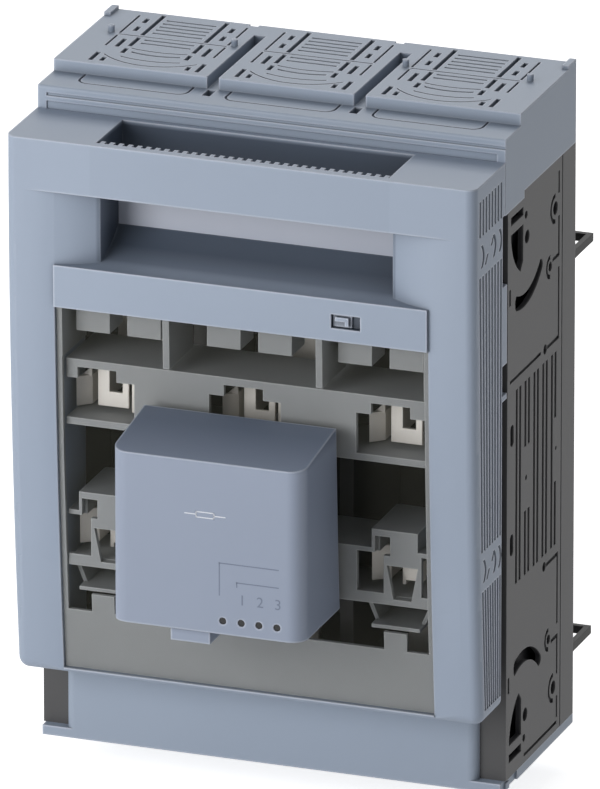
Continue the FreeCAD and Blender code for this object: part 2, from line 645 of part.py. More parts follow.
def top_hood():
    """The hood over the upper terminals: a ledge in front and a raised, slotted deck over each pole."""
    shell = box((-HALF, HALF), (0, BASE_DEPTH), (HOUSING_TOP, HOOD_LEDGE))
    lip = box((-HALF, HALF), (0, HOUSING_FRONT - SEAT_GAP), (HOUSING_TOP - HOOD_BOTTOM_LIP, HOUSING_TOP))
    side_lips = both_sides([box((HALF - HOOD_SIDE_LIP + SEAT_GAP, HALF), (0, HOOD_SIDE_LIP_BACK - SEAT_GAP),
                                (HOUSING_TOP - HOOD_BOTTOM_LIP + SEAT_GAP, HOUSING_TOP + 1))])
    decks = [box(x, (DECK_FRONT, BASE_DEPTH), (HOOD_LEDGE - 1, DECK_TOP)) for x in deck_edges()]
    backs = box((-HALF, HALF), (DECK_SLOT_BACK, BASE_DEPTH), (HOOD_LEDGE - 1, DECK_TOP))
    body = shell.fuse(decks + [backs, lip] + side_lips).removeSplitter()
    front_top = [edge for edge in body.Edges if edge.BoundBox.YLength < 0.01 and edge.BoundBox.ZLength < 0.01
                 and abs(edge.BoundBox.ZMin - HOOD_LEDGE) < 0.01 and abs(edge.BoundBox.YMin) < 0.01]
    body = body.makeFillet(1.2, front_top)
    hollows = []
    for x in pole_centres():
        across = (x - POLE_PITCH / 2 + WALL + DECK_SLOT / 4, x + POLE_PITCH / 2 - WALL - DECK_SLOT / 4)
        hollows.append(box(across, (WALL, BASE_DEPTH - WALL), (HOUSING_TOP - 1, HOOD_LEDGE - HOOD_SKIN)))
        hollows.append(box(across, (DECK_FRONT + WALL, BASE_DEPTH - WALL),
                           (HOOD_LEDGE - 4, DECK_TOP - HOOD_SKIN)))
    cuts = []
    for x in pole_centres():
        cuts += vent_pattern(x)
        cuts.append(knock_out(x))
    for side in (-1, 1):
        middle = side * POLE_PITCH / 2
        cuts.append(box((middle - LEDGE_NOTCH / 2, middle + LEDGE_NOTCH / 2),
                        (DECK_FRONT - 9.0, DECK_FRONT - 1.0), (HOOD_LEDGE - 7, HOOD_LEDGE + 1)))
        notch = (middle - 9 * ACROSS, middle - 5 * ACROSS)
        cuts.append(box(notch, (BASE_DEPTH - 2, BASE_DEPTH + 1), (DECK_TOP - 3, DECK_TOP + 1)))
    cuts.append(box((-HALF + 4, HALF + 1), (-1, 0.6), (HOOD_GROOVE_Z - 0.7, HOOD_GROOVE_Z + 0.7)))
    cuts.append(box((-HALF + 4, HALF - 4), (-1, 0.6), (COVER_TOP - 1, HOOD_GROOVE_Z - 3)))
    body = body.cut(hollows + cuts)
    peg_y = 61.0 * BACKWARD
    levels = (DECK_TOP - 0.5, DECK_TOP + DECK_PEG_RISE)
    pegs = both_sides([rod(vector(x, peg_y, levels[0]), vector(x, peg_y, levels[1]), DECK_PEG_R)
                       for x in DECK_PEGS])
    rims = both_sides([box((HALF - 3, HALF), (BASE_DEPTH - 10, BASE_DEPTH),
                           (DECK_TOP - 0.5, DECK_TOP + DECK_RIM_RISE))])
    return body.fuse(pegs + rims).removeSplitter()


def bottom_hood():
    """The plate under the base with the skirt that closes its front."""
    step = 18.0 * BACKWARD
    plate = box((-HALF, HALF), (step, BASE_DEPTH), (0, FOOT_PLATE))
    front = box((-HALF + 1, HALF - 1), (SKIRT_FRONT, step + 1), (0, FOOT_PLATE))
    foot = box((-HALF, HALF), (4.0, 8.0), (0, FOOT_PLATE - 1.2))
    half = SKIRT_WIDTH / 2
    skirt = rounded_block((-half, half), (SKIRT_FRONT, SKIRT_FRONT + 2 * SKIRT_DEPTH),
                          (FOOT_PLATE - 1, SKIRT_TOP), SKIRT_EDGE_R)
    skirt = skirt.common(box((-half, half), (SKIRT_FRONT, HOUSING_FRONT - SEAT_GAP), (0, SKIRT_TOP)))
    hollow = box((-half + WALL + 1.5, half - WALL - 1.5), (SKIRT_FRONT + WALL, HOUSING_FRONT + 9),
                 (FOOT_PLATE + 0.01, SKIRT_TOP - WALL))
    return joined([plate, front, foot, skirt.cut(hollow)])


def cover_blank():
    """The cover's outer form before it is hollowed: the arc in front, a rounded foot and rounded edges."""
    foot = COVER_FOOT_R
    low = COVER_BOTTOM
    front_low = front_y(low + foot)
    bend = Part.Arc(vector(-HALF, front_low, low + foot),
                    vector(-HALF, front_low + foot * 0.293, low + foot * 0.293),
                    vector(-HALF, front_low + foot, low)).toShape()
    arc = front_edge((low + foot, COVER_TOP), 0, -HALF)
    rest = Part.makePolygon([vector(-HALF, front_y(COVER_TOP), COVER_TOP), vector(-HALF, COVER_BACK, COVER_TOP),
                             vector(-HALF, COVER_BACK, low + RAIL_HEIGHT), vector(-HALF, HINGE_Y + 2, low),
                             vector(-HALF, front_low + foot, low)])
    wire = Part.Wire(Part.__sortEdges__([arc, bend] + rest.Edges))
    blank = Part.Face(wire).extrude(vector(WIDTH, 0, 0))
    upright = [edge for edge in blank.Edges if edge.BoundBox.XLength < 0.01 and edge.BoundBox.ZLength > 100
               and edge.BoundBox.YMin < -20]
    return blank.makeFillet(COVER_EDGE_R, upright)


def swept_along_front(outline, z):
    """An outline of (x, depth behind the front) corners, swept along the cover's arc between two heights."""
    centre_y, centre_z, radius = cover_arc()
    axis_point = vector(0, centre_y, centre_z)
    edges = []
    for start, middle, end in outline:
        corners = [corner for corner in (start, middle, end) if corner[0] is not None]
        points = [vector(x, centre_y - radius + depth, centre_z) for x, depth in corners]
        edge = Part.Arc(*points).toShape() if middle[0] is not None else Part.makeLine(points[0], points[-1])
        edges.append(edge)
    face = Part.Face(Part.Wire(Part.__sortEdges__(edges)))
    angles = [math.degrees(math.asin((height - centre_z) / radius)) for height in z]
    face.rotate(axis_point, vector(1, 0, 0), -angles[0])
    return face.revolve(axis_point, vector(1, 0, 0), -(angles[1] - angles[0]))


def dished(x, depth_at, z):
    """The cut that dips the front between two x values on the circle that the dish follows."""
    line = (None, None)
    middle = (x[0] + x[1]) / 2
    outline = [((x[0], depth_at(x[0])), (middle, depth_at(middle)), (x[1], depth_at(x[1]))),
               ((x[1], depth_at(x[1])), line, (x[1], -5.0)),
               ((x[1], -5.0), line, (x[0], -5.0)),
               ((x[0], -5.0), line, (x[0], depth_at(x[0])))]
    if depth_at(x[0]) <= 0.001:
        outline[3] = ((x[0], -5.0), line, (x[0], 0.0))
    return swept_along_front(outline, z)


def dish_depth(x):
    """How far the stiles dip towards the handle recess at an x, as a circle's sagitta."""
    start = HALF - STILE_DIP_START
    reach = start - FINGER_WIDTH / 2
    radius = (reach * reach + BROW_DEPTH * BROW_DEPTH) / (2 * BROW_DEPTH)
    return radius - math.sqrt(radius * radius - (start - x) ** 2)


def ramp_space(x, top):
    """The space above the curved ramp under the handle, between two x values."""
    low_y = front_y(HEADER_TOP) - 3
    middle = vector(x[0], (RAMP_BACK_Y + front_y(HEADER_TOP)) / 2 + 3.5, HEADER_TOP + 3.4)
    curve = Part.Arc(vector(x[0], front_y(HEADER_TOP) + 1.5, HEADER_TOP), middle,
                     vector(x[0], RAMP_BACK_Y, RAMP_BACK_Z)).toShape()
    rest = Part.makePolygon([vector(x[0], RAMP_BACK_Y, RAMP_BACK_Z), vector(x[0], RAMP_BACK_Y, top),
                             vector(x[0], low_y - 5, top), vector(x[0], low_y - 5, HEADER_TOP),
                             vector(x[0], front_y(HEADER_TOP) + 1.5, HEADER_TOP)])
    wire = Part.Wire(Part.__sortEdges__([curve] + rest.Edges))
    return Part.Face(wire).extrude(vector(x[1] - x[0], 0, 0))


def side_grooves():
    """The grooves and the two marked bands in the cover's right side."""
    across = (HALF - GROOVE_DEPTH, HALF + 1)
    cuts = []
    levels = [GROOVE_BOTTOM, BAND_LEVELS[0] - BAND_HEIGHT / 2, BAND_LEVELS[0] + BAND_HEIGHT / 2,
              BAND_LEVELS[1] - BAND_HEIGHT / 2, BAND_LEVELS[1] + BAND_HEIGHT / 2, GROOVE_TOP]

    def groove_y(k, z):
        front = front_y(z) + COVER_EDGE_R + 0.6
        return front + (COVER_BACK - 3.0 - front) * (k + 0.5) / GROOVE_COUNT

    for k in range(GROOVE_COUNT):
        for low, high in zip(levels[0::2], levels[1::2]):
            half = GROOVE_WIDTH / 2
            outline = [(groove_y(k, low) - half, low), (groove_y(k, low) + half, low),
                       (groove_y(k, high) + half, high), (groove_y(k, high) - half, high)]
            cuts.append(slab_along_x(outline, across))
    for level in BAND_LEVELS:
        front = front_y(level) + COVER_EDGE_R
        step = (COVER_BACK - 4.0 - front) / 4
        for k in (0, 2, 3):
            y = front + step * (k + 0.6)
            ring = rod(vector(across[0], y - 3, level), vector(across[1], y - 3, level), 6.5)
            ring = ring.cut(rod(vector(across[0], y - 5, level), vector(across[1], y - 5, level), 6.3))
            cuts.append(ring.common(box(across, (y - 1, y + 4), (level - 5, level + 5))))
        for k in (1, 2):
            y = front + step * (k + 0.1)
            slant = [(y, level - 5 + 6 * (k - 1)), (y + 1.8, level - 5 + 6 * (k - 1)),
                     (y + 4.8, level - 1 + 6 * (k - 1)), (y + 3.0, level - 1 + 6 * (k - 1))]
            cuts.append(slab_along_x(slant, across))
    return cuts


def cover_hollows():
    """The space inside the cover, as cutting blocks."""
    inside = HALF - COVER_WALL
    stile_inner = HALF - STILE_WIDTH
    shoulder = FINGER_WIDTH / 2 + COVER_WALL
    back = COVER_BACK + 1
    header_back = HEADER_TOP - COVER_WALL
    levels = (COVER_BOTTOM + RAIL_HEIGHT, header_back)
    middle = block_behind_front((-stile_inner, stile_inner), levels, COVER_WALL, back)
    slope = slab_along_x([(front_y(header_back) + 8, header_back - 1), (back, header_back - 1),
                          (back, RAMP_BACK_Z - COVER_WALL)], (-stile_inner, stile_inner))
    stiles = both_sides([block_behind_front((stile_inner + WALL, inside), (COVER_BOTTOM - 1, header_back),
                                            COVER_WALL + STILE_DIP, back)])
    corners = both_sides([block_behind_front((shoulder, inside), (header_back - 0.01, COVER_TOP - COVER_WALL),
                                             BROW_DEPTH + COVER_WALL, back)])
    return [middle, slope] + stiles + corners


def swing_cover():
    """The one-piece cover with its handle bar, stiles and header, open behind and around the window."""
    finger = (-FINGER_WIDTH / 2, FINGER_WIDTH / 2)
    dish_start = HALF - STILE_DIP_START
    stile_edge = HALF - STILE_WIDTH
    below_bar = (COVER_BOTTOM - 3, BAR_BOTTOM)
    dips = both_sides([dished((dish_start, stile_edge), dish_depth, below_bar)])
    brows = both_sides([dished((stile_edge, FINGER_WIDTH / 2), dish_depth, (HEADER_TOP - 1, BAR_BOTTOM))])
    ramp = ramp_space((-stile_edge, stile_edge), BAR_BOTTOM)
    brows = [brow.common(ramp) for brow in brows]
    recess = ramp_space(finger, BAR_BOTTOM)
    well = box(finger, (-COVER_DEPTH_TOP + BAR_THICK, FINGER_BACK), (RAMP_BACK_Z, COVER_TOP + 1))
    window = box((-stile_edge, stile_edge), (-2 * COVER_DEPTH_TOP, -COVER_DEPTH_BOTTOM + 12),
                 (COVER_BOTTOM + RAIL_HEIGHT, HEADER_BOTTOM))
    body = cover_blank().cut(cover_hollows())
    body = body.cut(dips + brows + [recess, well, window])
    grooves = side_grooves()
    body = body.cut(grooves + [mirrored(groove) for groove in grooves])
    extra = [label_ledge(), lock_pocket()] + grip_ribs() + both_sides([pin_boss()] + side_tongues())
    body = joined([body] + extra)
    body = body.cut(both_sides(side_notches()))
    return body.cut([lock_recess()] + both_sides([pin_bore()]))


def side_tongues():
    """The two places where the cover's right side reaches back towards the base."""
    low_bridge, high_bridge, low, high = COVER_NOTCH_LEVELS[:4]
    across = (HALF - COVER_WALL, HALF)
    deep = (COVER_BACK - 1, COVER_BACK + COVER_TONGUE)
    return [box(across, deep, (low_bridge, high_bridge)), box(across, deep, (low, high))]


def side_notches():
    """The notches in the back of the cover's right side, between and beyond those places."""
    low_bridge, high_bridge, low, high, top = COVER_NOTCH_LEVELS
    across = (HALF - COVER_WALL - SEAT_GAP, HALF + 1)
    deep = (COVER_BACK - COVER_NOTCH, COVER_BACK + 1)
    gaps = ((COVER_BOTTOM - 1, low_bridge), (high_bridge, low), (high, top))
    return [box(across, deep, levels) for levels in gaps]


def pin_boss():
    """A round boss inside the outer wall of the stile for the hinge pin's end."""
    return rod(vector(HALF - COVER_WALL - 4, HINGE_Y, HINGE_Z), vector(HALF - 1, HINGE_Y, HINGE_Z), 5.0)


def pin_bore():
    """The hole for the hinge pin, blind in the outer wall."""
    return rod(vector(HALF - STILE_WIDTH - 1, HINGE_Y, HINGE_Z),
               vector(HALF - COVER_WALL / 2, HINGE_Y, HINGE_Z), HINGE_PIN_R + HINGE_RUNNING_GAP)


def grip_ribs():
    """The fine ribs on the back of the handle bar."""
    ribs = []
    first = -GRIP_RIB_PITCH * (GRIP_RIB_COUNT - 1) / 2
    back_of_bar = -COVER_DEPTH_TOP + BAR_THICK
    for k in range(GRIP_RIB_COUNT):
        x = first + k * GRIP_RIB_PITCH
        ribs.append(box((x - GRIP_RIB_WIDTH / 2, x + GRIP_RIB_WIDTH / 2),
                        (back_of_bar - 1, back_of_bar + GRIP_RIB_DEPTH), (BAR_BOTTOM + 1, COVER_TOP - 0.6)))
    return ribs


def label_ledge():
    """The step at the back of the recess that carries the label strip."""
    return box((-FINGER_WIDTH / 2, FINGER_WIDTH / 2), (RAMP_BACK_Y + LABEL_THICK, FINGER_BACK + 1),
               (RAMP_BACK_Z - COVER_WALL, RAMP_BACK_Z + LABEL_HEIGHT))


def label_strip():
    """The plain light strip on that step."""
    half = FINGER_WIDTH / 2 - SEAT_GAP
    back = RAMP_BACK_Y + LABEL_THICK
    return box((-half, half), (back - LABEL_THICK, back), (RAMP_BACK_Z, RAMP_BACK_Z + LABEL_HEIGHT))


def lock_pocket():
    """The thicker wall behind the lock slide's recess."""
    half_x, half_z = LOCK_SLOT[0] / 2 + 2, LOCK_SLOT[1] / 2 + 2
    return block_behind_front((LOCK_X - half_x, LOCK_X + half_x), (LOCK_Z - half_z, LOCK_Z + half_z), 1.0,
                              front_y(LOCK_Z) + COVER_WALL + LOCK_DEPTH)


def lock_recess():
    half_x, half_z = LOCK_SLOT[0] / 2, LOCK_SLOT[1] / 2
    front = front_y(LOCK_Z)
    return box((LOCK_X - half_x, LOCK_X + half_x), (front - 2, front + LOCK_DEPTH),
               (LOCK_Z - half_z, LOCK_Z + half_z))


def lock_slide():
    """The small slide in the header, a plate with a finger rib, that locks the cover."""
    floor = front_y(LOCK_Z) + LOCK_DEPTH - MOVING_GAP
    half_z = LOCK_SLOT[1] / 2 - MOVING_GAP
    left = LOCK_X - LOCK_SLOT[0] / 2 + MOVING_GAP
    right = left + LOCK_SLIDE_WIDTH
    plate = box((left, right), (floor - 0.8, floor), (LOCK_Z - half_z, LOCK_Z + half_z))
    raised = (floor - 2.5, floor - 0.7)
    rib = box((right - 2.6, right - 1.0), raised, (LOCK_Z - half_z + 0.8, LOCK_Z + half_z - 0.9))
    tab = box((left + 1.4, right - 2.0), raised, (LOCK_Z + 0.1, LOCK_Z + half_z - 0.9))
    return joined([plate, rib, tab])


def window():
    """The clear pane in the cover, curved like its front."""
    z = (COVER_BOTTOM + RAIL_HEIGHT + SEAT_GAP, HEADER_BOTTOM - SEAT_GAP)
    return skin_along_front((-WINDOW_HALF, WINDOW_HALF), z, (WINDOW_SETBACK, WINDOW_SETBACK + WINDOW_THICK))


def cover_inner_frame():
    """The grey frame behind the window: a panel with three posts below and two dividers on a bar above."""
    half = WINDOW_HALF
    insets = (BEHIND_WINDOW, BEHIND_WINDOW + FRAME_THICK)
    low = COVER_BOTTOM + RAIL_HEIGHT + SEAT_GAP
    high = HEADER_TOP - COVER_WALL - SEAT_GAP
    pieces = [skin_along_front((-half, half), (low, FRAME_PANEL_TOP), insets)]
    for x in pole_centres():
        post = (x - 4.6 * ACROSS, x + 5.6 * ACROSS)
        pieces.append(skin_along_front(post, (FRAME_PANEL_TOP - 1, FRAME_POST_TOP), insets))
    edges = [-half, -DIVIDER_X - DIVIDER_WIDTH / 2, DIVIDER_X - DIVIDER_WIDTH / 2, half - WALL]
    widths = [WALL, DIVIDER_WIDTH, DIVIDER_WIDTH, WALL]
    for left, width in zip(edges, widths):
        pieces.append(block_behind_front((left, left + width), (DIVIDER_BOTTOM, high), BEHIND_WINDOW, -6.0))
    pieces.append(skin_along_front((-half, half), (HEADER_BOTTOM + 1, high), insets))
    levels = (FRAME_PANEL_TOP - 1, HEADER_BOTTOM + 2)
    pieces += both_sides([skin_along_front((half - FRAME_EDGE, half), levels, insets)])
    around_lock = lock_pocket().BoundBox
    notch = box((around_lock.XMin - SEAT_GAP, around_lock.XMax + SEAT_GAP),
                (-COVER_DEPTH_TOP, around_lock.YMax + SEAT_GAP),
                (around_lock.ZMin - SEAT_GAP, around_lock.ZMax + SEAT_GAP))
    return joined(pieces).cut(notch)


def grip_centres():
    return [pole * GRIP_PITCH for pole in POLES]


def fuse_grip(x):
    """A pair of blocks under the header that grip one fuse link's upper lugs, on a short bridge."""
    high = HEADER_TOP - COVER_WALL - SEAT_GAP
    back = GRIP_BLOCK_FRONT + GRIP_BLOCK_DEPTH
    pieces = []
    for side in (-1, 1):
        middle = x + side * GRIP_BLOCK_SPACING / 2
        block = box((middle - GRIP_BLOCK / 2, middle + GRIP_BLOCK / 2), (GRIP_BLOCK_FRONT, back),
                    (GRIP_BLOCK_BOTTOM, high))
        pieces.append(block)
    half = GRIP_BLOCK_SPACING / 2
    pieces.append(box((x - half, x + half), (back - 6.0, back), (high - 12.0, high)))
    return joined(pieces)


def contact_cover_box(z, front):
    """A shallow box, open behind, that spans the three poles in front of the contacts."""
    half = CONTACT_COVER_WIDTH / 2
    wall = CONTACT_COVER_WALL
    outer = box((-half, half), (front, HOUSING_FRONT), z)
    edges = [-half] + [side * POLE_PITCH / 2 for side in (-1, 1)] + [half]
    rooms = []
    for left, right in zip(edges, edges[1:]):
        near = -1.0 if left == -half else wall / 2
        far = -1.0 if right == half else wall / 2
        rooms.append(box((left + near, right - far), (front + wall, HOUSING_FRONT + 1),
                         (z[0] + wall + 0.6, z[1] - wall)))
    return outer.cut(rooms)


def upper_contact_cover():
    """The grey moulding in front of the upper contacts."""
    low, high = UPPER_COVER
    body = contact_cover_box(UPPER_COVER, UPPER_COVER_FRONT)
    cuts = []
    depth = (UPPER_COVER_FRONT - 1, UPPER_COVER_FRONT + CONTACT_COVER_WALL + 1)
    for x in pole_centres():
        wide = (x - 16.6 * ACROSS, x + 15.6 * ACROSS)
        narrow = (x - 10.0 * ACROSS, x + 7.6 * ACROSS)
        cuts.append(box(wide, depth, (low + CONTACT_COVER_WALL + 0.6, high - UPPER_OPENING_STEP)))
        cuts.append(box(narrow, depth, (high - UPPER_OPENING_STEP - 1, high - CONTACT_COVER_WALL - 1)))
    return body.cut(cuts)


def lower_contact_cover():
    """The grey moulding in front of the lower contacts, with a raised crown and a small shelf at each pole."""
    low, high = LOWER_COVER
    front = LOWER_COVER_FRONT
    wall = CONTACT_COVER_WALL
    body = contact_cover_box(LOWER_COVER, front)
    pieces = [body]
    cuts = []
    depth = (front - 1, front + wall + 1)
    for x in pole_centres():
        def span(left, right):
            return x + left * ACROSS, x + right * ACROSS

        crown = (x - CROWN_WIDTH / 2, x + CROWN_WIDTH / 2)
        pieces.append(box(crown, (front, HOUSING_FRONT), (high - 1, CROWN_TOP)))
        cuts.append(box((crown[0] + wall, crown[1] - wall), (front + wall, HOUSING_FRONT + 1),
                        (high - wall - 1, CROWN_TOP - wall)))
        cuts.append(box(span(-16.9, -4.9), depth, (low + 5.0, high - 2.0)))
        cuts.append(box(span(-9.0, -2.0), depth, (high - 3.0, CROWN_TOP - 3.0)))
        top, bottom = high - 7.3, low + 2.7
        left, right = span(-3.5, 10.4), span(-0.5, 7.5)
        cuts.append(slab_along_y([(left[0], top), (left[1], top), (right[1], bottom), (right[0], bottom)], depth))
        cuts.append(box(span(12.0, 18.5), depth, (low + 5.0, high - 2.0)))
        pieces += shelf(x)
    return joined(pieces).cut(cuts).removeSplitter()


def shelf(x):
    """The small shelf under the lower contacts of one pole, on two slanted cheeks."""
    half = TRAY_SHELF_WIDTH / 2
    depth = (TRAY_SHELF_FRONT, TRAY_SHELF_BACK)
    plate = box((x - half, x + half), depth, (TRAY_SHELF_TOP - 1.6, TRAY_SHELF_TOP))
    top = LOWER_COVER[0] + 1
    cheeks = []
    for side in (-1, 1):
        outline = [(x + side * (half - 1.8), TRAY_SHELF_TOP - 1), (x + side * half, TRAY_SHELF_TOP - 1),
                   (x + side * (half + 5.0), top), (x + side * (half + 3.2), top)]
        cheeks.append(slab_along_y(outline, (TRAY_SHELF_FRONT + 6.0, TRAY_SHELF_BACK)))
    back = box((x - half, x + half), (TRAY_SHELF_BACK - 1.6, TRAY_SHELF_BACK), (TRAY_SHELF_TOP - 1, top))
    return [plate, back] + cheeks


def terminal_bar(x, z, hole_z):
    """The flat copper bar behind a contact, with a hole for the cable lug's bolt."""
    y = (JAW_BACK + 3, JAW_BACK + 3 + BAR_THICKNESS)
    bar = box((x - BAR_WIDTH / 2, x + BAR_WIDTH / 2), y, z)
    return bar.cut(rod(vector(x, y[0] - 1, hole_z), vector(x, y[1] + 1, hole_z), TERMINAL_HOLE_R))


def lip(pole_x, outer, inner, z):
    """A blade that runs forward and flares sideways into a lip, seen from above as an angle."""
    step = math.copysign(BLADE, outer - inner)
    far, near = pole_x + outer * ACROSS, pole_x + inner * ACROSS
    bend = JAW_FRONT + JAW_FLARE
    outline = [(near, JAW_BACK), (near, bend), (far, JAW_FRONT), (far, JAW_FRONT + BLADE),
               (near + step, bend + BLADE), (near + step, JAW_BACK)]
    return slab_along_z(outline, z)


def jaw_web(pole_x, x, z):
    """The plate that joins the blades of one contact to its terminal bar."""
    return box((pole_x + x[0] * ACROSS, pole_x + x[1] * ACROSS), (JAW_BACK - 0.5, JAW_BACK + JAW_WEB), z)


def upper_contact(pole_x):
    """The upper contact of one pole: flared blades for the fuse's knife, a web and the terminal bar."""
    def at(x):
        return pole_x + x * ACROSS

    left = lip(pole_x, -14.8, -9.3, UPPER_JAW)
    top = UPPER_JAW[1] - 0.5
    peak = slab_along_y([(at(-14.0), top), (at(-9.3), top), (at(-9.3), top + 4.5)],
                        (JAW_FRONT + 4.0, JAW_FRONT + 5.5))
    plate = box((at(-5.0), at(8.8)), (JAW_FRONT, JAW_FRONT + BLADE), UPPER_PLATE)
    notch = box((at(0.1), at(6.1)), (JAW_FRONT - 1, JAW_FRONT + BLADE + 1), (UPPER_NOTCH_Z, UPPER_PLATE[1] + 1))
    blade = box((at(-5.0), at(-5.0) + BLADE), (JAW_FRONT, JAW_BACK), UPPER_PLATE)
    slim = box((at(10.3), at(10.3) + BLADE), (JAW_FRONT, JAW_BACK), UPPER_JAW)
    web = jaw_web(pole_x, (-10.8, 11.8), (UPPER_PLATE[0], UPPER_JAW[1]))
    bar = terminal_bar(pole_x, (UPPER_JAW[0], TERMINAL_UPPER_Z + 11.0), TERMINAL_UPPER_Z)
    return joined([left, peak, plate.cut(notch), blade, slim, web, bar])


def lower_contact(pole_x):
    """The lower contact of one pole."""
    def at(x):
        return pole_x + x * ACROSS

    low, high = LOWER_JAW[0], LOWER_BLOCK[1]
    left = lip(pole_x, -13.5, -6.5, LOWER_JAW)
    block = box((at(0.3), at(9.4)), (JAW_FRONT, JAW_FRONT + 4), LOWER_BLOCK)
    blade = box((at(0.3), at(0.3) + BLADE), (JAW_FRONT, JAW_BACK), (low, high))
    right = lip(pole_x, 14.8, 12.6, LOWER_JAW)
    web = jaw_web(pole_x, (-8.0, 14.1), (low, high))
    bar = terminal_bar(pole_x, (TERMINAL_LOWER_Z - 6.5, LOWER_JAW[1]), TERMINAL_LOWER_Z)
    return joined([left, block, blade, right, web, bar])


def terminal_places():
    return [(x, z) for x in pole_centres() for z in (TERMINAL_UPPER_Z, TERMINAL_LOWER_Z)]


def terminal_bolts():
    """The hexagon bolts on the terminal bars, their heads in front."""
    bolts = []
    front = JAW_BACK + 3
    for x, z in terminal_places():
        head = hexagon_rod(vector(x, front - BOLT_HEAD, z), BOLT_HEAD, BOLT_ACROSS_FLATS)
        shank = rod(vector(x, front - 1, z), vector(x, front + BOLT_LENGTH, z), TERMINAL_BOLT_R)
        bolts.append(head.fuse(shank).removeSplitter())
    return Part.makeCompound(bolts)


def terminal_nuts():
    nuts = []
    back = JAW_BACK + 3 + BAR_THICKNESS
    for x, z in terminal_places():
        nut = hexagon_rod(vector(x, back, z), NUT_HEIGHT, BOLT_ACROSS_FLATS)
        bore = rod(vector(x, back - 1, z), vector(x, back + NUT_HEIGHT + 1, z), TERMINAL_BOLT_R + SEAT_GAP / 2)
        nuts.append(nut.cut(bore))
    return Part.makeCompound(nuts)


def arc_plates(x):
    """The stack of steel plates above one upper contact that quench the arc."""
    plates = []
    half = CHAMBER_WIDTH / 2 - SEAT_GAP
    front, back = JAW_BACK + 11.0, CHAMBER_BACK - 4.0
    for k in range(ARC_PLATE_COUNT):
        z = ARC_STACK_BOTTOM + k * ARC_PLATE_PITCH
        plate = box((x - half, x + half), (front, back), (z, z + ARC_PLATE))
        tip = (x, (front + 2 * back) / 3)
        throat = slab_along_z([(x - ARC_THROAT, front - 1), (x + ARC_THROAT, front - 1), tip],
                              (z - 1, z + ARC_PLATE + 1))
        plates.append(plate.cut(throat))
    return Part.makeCompound(plates)


def unit_outline(inset):
    """Outline of the monitoring unit seen from the side, set in by a wall, as (y, z) corners."""
    back = -20.0
    slope = (UNIT_TOP_BACK - UNIT_TOP_FRONT) / (front_y(UNIT_TOP_BACK) - UNIT_FRONT)
    low = UNIT_BOTTOM + inset
    front = UNIT_FRONT + inset
    return [(front, low), (back, low), (back, UNIT_TOP_FRONT + slope * (back - UNIT_FRONT) - inset),
            (front, UNIT_TOP_FRONT - inset)]


def window_front_space(inset):
    """Everything behind a surface that follows the window's front."""
    return block_behind_front((-HALF, HALF), (COVER_BOTTOM + 5, HEADER_BOTTOM + 5), inset, 0.0)


def unit_housing():
    """The monitoring unit's shell, open behind, with a tab below and holes for its lamps."""
    body = slab_along_x(unit_outline(0.0), (UNIT_LEFT, UNIT_RIGHT))
    upright = [edge for edge in body.Edges if abs(edge.BoundBox.YMin - UNIT_FRONT) < 0.01
               and edge.BoundBox.YLength < 0.01 and edge.BoundBox.ZLength > 10]
    body = body.makeFillet(UNIT_EDGE_R, upright)
    hollow = slab_along_x(unit_outline(UNIT_WALL), (UNIT_LEFT + UNIT_WALL, UNIT_RIGHT - UNIT_WALL))
    upright = [edge for edge in hollow.Edges if abs(edge.BoundBox.YMin - UNIT_FRONT - UNIT_WALL) < 0.01
               and edge.BoundBox.YLength < 0.01 and edge.BoundBox.ZLength > 10]
    hollow = hollow.makeFillet(UNIT_EDGE_R - UNIT_WALL, upright)
    left, right, drop = UNIT_TAB
    tab = box((left, right), (UNIT_FRONT + 2.0, -20.0), (UNIT_BOTTOM - drop, UNIT_BOTTOM + UNIT_WALL))
    channel = box((left + UNIT_WALL, right - UNIT_WALL), (UNIT_FRONT + 4.0, -19.0),
                  (UNIT_BOTTOM - drop + UNIT_WALL, UNIT_BOTTOM + UNIT_WALL + 1))
    through = (UNIT_FRONT - 1, UNIT_FRONT + UNIT_WALL + 1)
    lamps = [rod(vector(x, through[0], LAMP_Z), vector(x, through[1], LAMP_Z), LAMP_R + SEAT_GAP)
             for x in LAMP_X]
    shell = body.fuse(tab).cut([hollow, channel] + lamps)
    return shell.cut(window_front_space(WINDOW_SETBACK - SEAT_GAP)).removeSplitter()


def unit_back():
    """The plate that closes the monitoring unit against the window."""
    half_gap = UNIT_WALL + SEAT_GAP
    z = (UNIT_BOTTOM + half_gap, UNIT_TOP_FRONT - 0.1 + UNIT_WALL / 2)
    inset = WINDOW_SETBACK - SEAT_GAP
    return skin_along_front((UNIT_LEFT + half_gap, UNIT_RIGHT - half_gap), z, (inset - UNIT_BACK_PLATE, inset))


def unit_board():
    """The circuit board behind the unit's front, on the housing's side ribs."""
    gap = UNIT_WALL + MOVING_GAP
    return box((UNIT_LEFT + gap, UNIT_RIGHT - gap), (UNIT_BOARD_FRONT, UNIT_BOARD_FRONT + UNIT_BOARD_THICK),
               (UNIT_BOTTOM + gap, UNIT_TOP_FRONT - gap))


def unit_lamps():
    """The four indicator lamps, from the board to just behind the unit's front face."""
    ends = (UNIT_FRONT + LAMP_SUNK, UNIT_BOARD_FRONT)
    lamps = [rod(vector(x, ends[0], LAMP_Z), vector(x, ends[1], LAMP_Z), LAMP_R) for x in LAMP_X]
    return Part.makeCompound(lamps)


